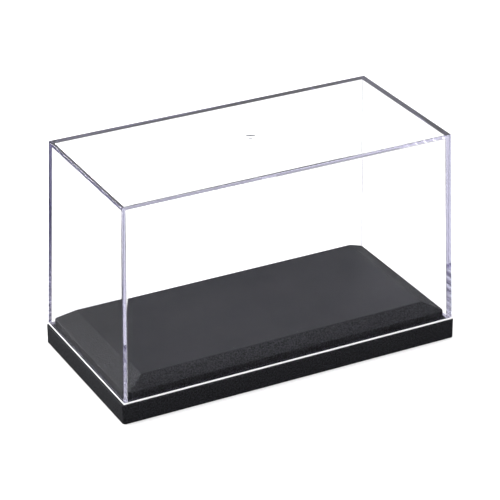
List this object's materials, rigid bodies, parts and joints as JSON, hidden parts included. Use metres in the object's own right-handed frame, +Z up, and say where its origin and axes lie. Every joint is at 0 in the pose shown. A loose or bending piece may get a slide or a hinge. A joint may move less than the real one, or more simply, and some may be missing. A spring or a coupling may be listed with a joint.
{
  "type": "display case",
  "caption": "Clear lift-off box cover with slightly leaning walls, standing on the ledge of a black moulded base with a bevelled plinth, for showing one small scale model vehicle.",
  "frame": {"origin": "centre of the rectangular face that the base stands on", "axes": "+X along the case's length, +Y across its width, +Z up; the case is symmetric about the XZ and YZ planes"},
  "size_m": [0.105, 0.0524, 0.0636],
  "materials": {
    "clear_cover": "gloss",
    "black_base": "satin"
  },
  "bodies": {
    "base": {"base": "black_base"},
    "cover": {"cover": "clear_cover"}
  },
  "joints": [
    {"name": "cover_lift", "type": "slide", "parent": "base", "child": "cover", "axis": [0, 0, 1], "range_m": [0, 0.06]}
  ]
}
